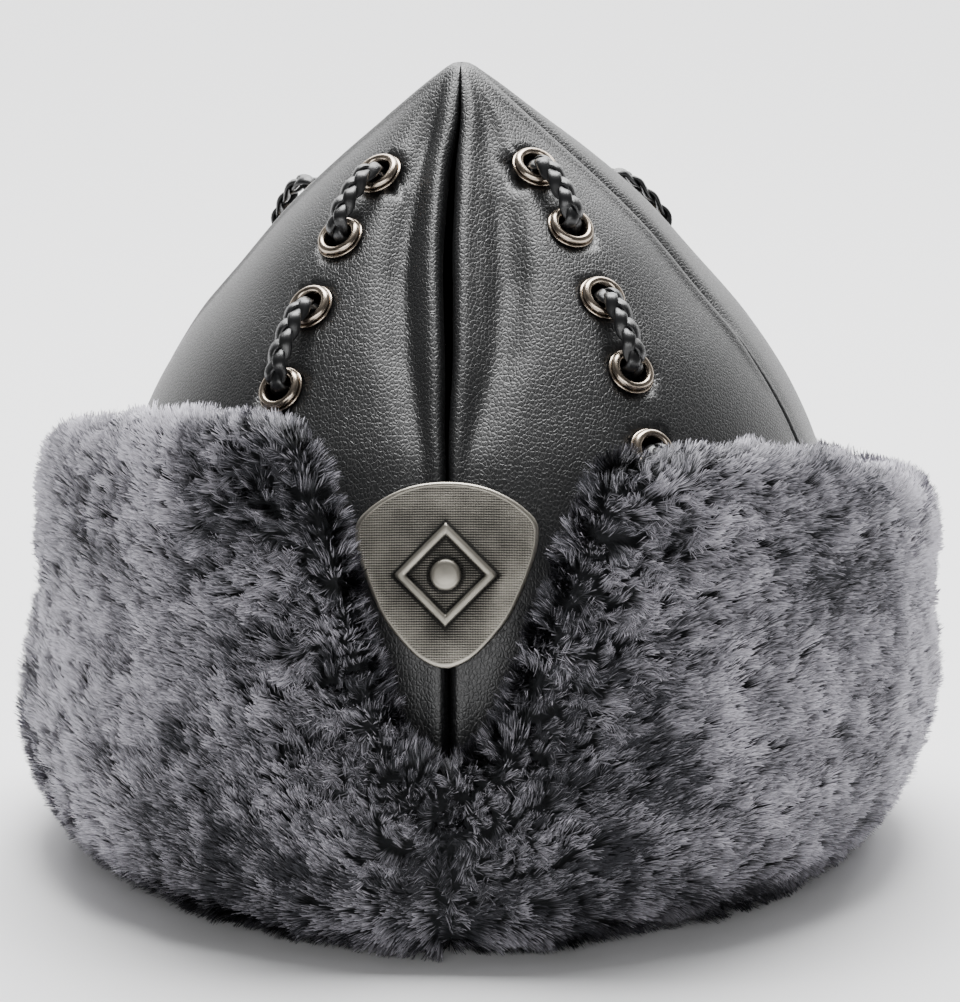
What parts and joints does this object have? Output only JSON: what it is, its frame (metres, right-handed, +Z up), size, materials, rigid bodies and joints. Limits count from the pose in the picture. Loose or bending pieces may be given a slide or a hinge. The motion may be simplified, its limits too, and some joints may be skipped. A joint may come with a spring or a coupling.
{
  "type": "fur-trimmed pointed leather cap",
  "caption": "Pointed cap of black leather panels with laced eyelet rows, a turned-up grey fur cuff split at the front and a cast metal badge.",
  "frame": {"origin": "middle of the box at the base plane, on which the cuff's sole stands", "axes": "+Z up towards the point, -Y towards the front with the notch and badge, +X towards the wearer's left"},
  "size_m": [0.2184, 0.2426, 0.1871],
  "materials": {
    "black_leather": "pebbled, soft sheen",
    "braided_leather": "glossy",
    "grey_fur": "deep frosted pile",
    "nickel": "polished, warm",
    "old_nickel": "cast, dark in the low places"
  },
  "bodies": {
    "root": {"crown_front_right": "black_leather", "crown_back_right": "black_leather", "crown_back_left": "black_leather", "crown_front_left": "black_leather", "eyelet_front_right_1": "nickel", "eyelet_front_right_2": "nickel", "eyelet_front_right_3": "nickel", "eyelet_front_right_4": "nickel", "eyelet_front_right_5": "nickel", "eyelet_front_right_6": "nickel", "eyelet_front_left_1": "nickel", "eyelet_front_left_2": "nickel", "eyelet_front_left_3": "nickel", "eyelet_front_left_4": "nickel", "eyelet_front_left_5": "nickel", "eyelet_front_left_6": "nickel", "eyelet_back_right_1": "nickel", "eyelet_back_right_2": "nickel", "eyelet_back_right_3": "nickel", "eyelet_back_right_4": "nickel", "eyelet_back_left_1": "nickel", "eyelet_back_left_2": "nickel", "eyelet_back_left_3": "nickel", "eyelet_back_left_4": "nickel", "lacing_front_right": "braided_leather", "lacing_front_left": "braided_leather", "lacing_back_right": "braided_leather", "lacing_back_left": "braided_leather", "fur_cuff": "grey_fur", "badge": "old_nickel"}
  },
  "joints": []
}
